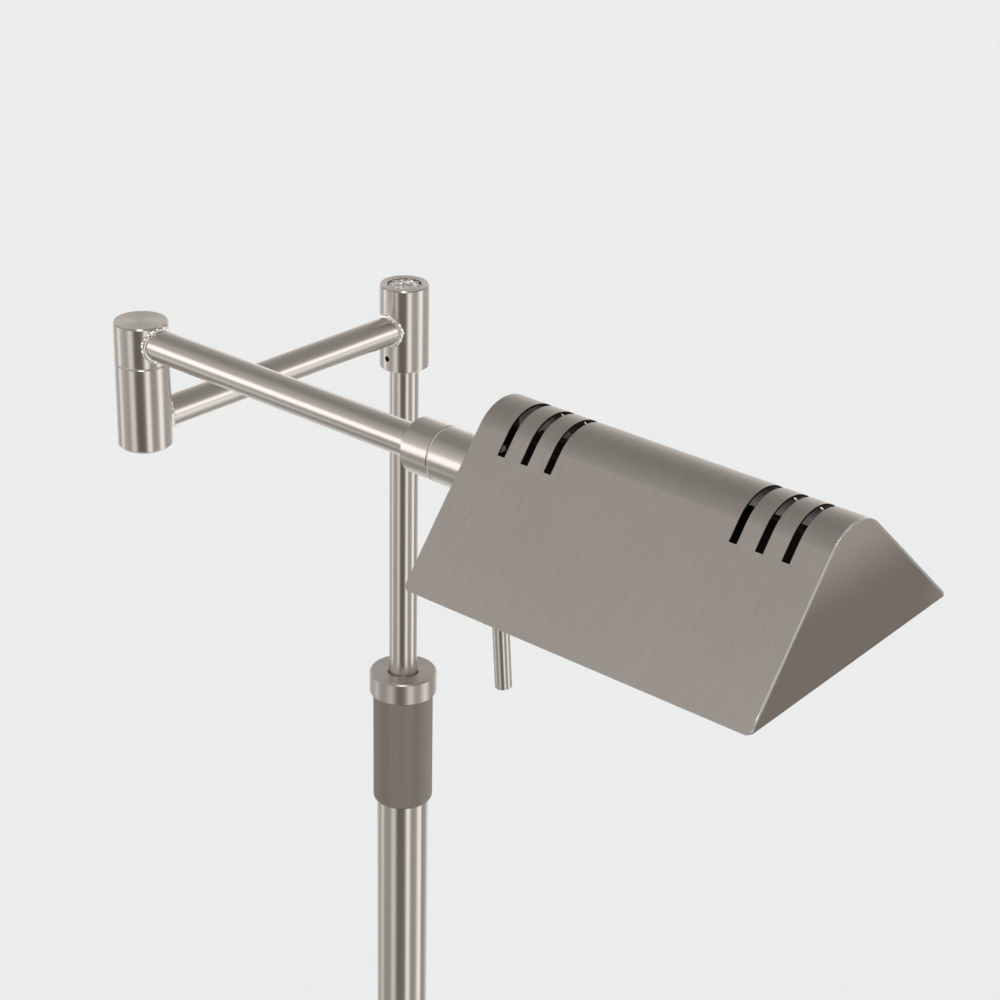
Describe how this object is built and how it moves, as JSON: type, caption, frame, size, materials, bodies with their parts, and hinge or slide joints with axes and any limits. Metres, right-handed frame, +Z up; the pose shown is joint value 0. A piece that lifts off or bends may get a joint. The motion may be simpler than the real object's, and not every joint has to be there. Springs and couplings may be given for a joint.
{
  "type": "pharmacy floor lamp",
  "caption": "Floor lamp with a round weighted foot, telescopic mast, jointed swinging arms and a gable-shaped metal shade that rolls on the arm's end.",
  "frame": {"origin": "centre of the foot's underside, on the mast's axis", "axes": "+Z up the mast, +X along the outer arm and the shade at rest, -Y along the inner arm at rest"},
  "size_m": [0.547, 0.376, 1.1441],
  "materials": {
    "brushed_nickel": "brushed nickel plate, fine grain",
    "foot_nickel": "brushed nickel plate, turned grain",
    "knurled_nickel": "fine straight knurl, satin",
    "shade_nickel": "sheet brushed across the ridge",
    "cap_nickel": "smooth satin sheet",
    "chrome": "polished, fluted",
    "cast_iron": "as cast",
    "rubber": "matt",
    "zinc_steel": "zinc plated",
    "black_steel": "black oxide",
    "brass": "turned",
    "nylon": "natural",
    "black_plastic": "moulded",
    "lead_sheath": "smooth sheath",
    "wire_sleeve": "dark woven glass sleeve",
    "reflector_aluminium": "bright rolled",
    "ceramic": "unglazed steatite",
    "contact_copper": "copper",
    "lamp_quartz": "clear quartz",
    "tungsten": "coiled wire"
  },
  "bodies": {
    "stand": {"base_cover": "foot_nickel", "base_weight": "cast_iron", "base_pad": "rubber", "base_washer": "zinc_steel", "base_nut": "zinc_steel", "mast_nipple": "brass", "cable_grommet": "rubber", "outer_tube": "brushed_nickel", "foot_plug": "zinc_steel", "mast_ferrule": "brass", "clamp_collet": "nylon"},
    "clamp_grip": {"clamp_sleeve": "knurled_nickel", "clamp_ring": "brushed_nickel"},
    "upper_mast": {"inner_tube": "brushed_nickel", "slide_bush": "nylon", "mast_spigot": "zinc_steel", "pivot_washer": "nylon", "mast_lead": "lead_sheath"},
    "inner_arm": {"mast_knuckle": "brushed_nickel", "knuckle_grub_screw": "black_steel", "dimmer_unit": "black_plastic", "inner_arm_tube": "brushed_nickel", "elbow_lower": "brushed_nickel", "elbow_grub_screw": "black_steel", "elbow_plug": "brushed_nickel", "inner_arm_lead": "lead_sheath"},
    "dimmer": {"dimmer_knob": "chrome"},
    "outer_arm": {"elbow_upper": "brushed_nickel", "elbow_spigot": "zinc_steel", "elbow_washer": "nylon", "elbow_spring_washer": "zinc_steel", "elbow_nut": "zinc_steel", "outer_arm_tube": "brushed_nickel", "collar_fixed": "brushed_nickel", "collar_washer": "nylon", "swivel_nipple": "brass", "swivel_spring_washer": "zinc_steel", "swivel_nut": "zinc_steel", "stop_pin": "black_steel", "outer_arm_lead": "lead_sheath"},
    "shade": {"collar_turning": "brushed_nickel", "tilt_handle": "brushed_nickel", "collar_screws": "zinc_steel", "shade_shell": "shade_nickel", "shade_cap_near": "cap_nickel", "shade_cap_far": "cap_nickel", "reflector": "reflector_aluminium", "reflector_brackets": "black_steel", "bracket_screws": "black_steel", "holder_near": "ceramic", "holder_far": "ceramic", "holder_contacts": "contact_copper", "lamp_glass": "lamp_quartz", "lamp_ends": "ceramic", "lamp_filament": "tungsten", "terminal_block": "ceramic", "lamp_leads": "wire_sleeve"}
  },
  "joints": [
    {"name": "clamp_twist", "type": "hinge", "parent": "stand", "child": "clamp_grip", "pos_m": [0, 0, 0.8], "axis": [0, 0, 1], "range_deg": [0, 180]},
    {"name": "mast_height", "type": "slide", "parent": "stand", "child": "upper_mast", "axis": [0, 0, 1], "range_m": [-0.185, 0.2]},
    {"name": "mast_swivel", "type": "hinge", "parent": "upper_mast", "child": "inner_arm", "pos_m": [0, 0, 1.05], "axis": [0, 0, 1], "range_deg": [-155, 155]},
    {"name": "dimmer_turn", "type": "hinge", "parent": "inner_arm", "child": "dimmer", "pos_m": [0, 0, 1.08], "axis": [0, 0, -1], "range_deg": [0, 280]},
    {"name": "elbow_swivel", "type": "hinge", "parent": "inner_arm", "child": "outer_arm", "pos_m": [0, -0.186, 1.09], "axis": [0, 0, 1], "range_deg": [-155, 155]},
    {"name": "shade_roll", "type": "hinge", "parent": "outer_arm", "child": "shade", "pos_m": [0.22, -0.186, 1.1056], "axis": [1, 0, 0], "range_deg": [-94, 84]}
  ]
}
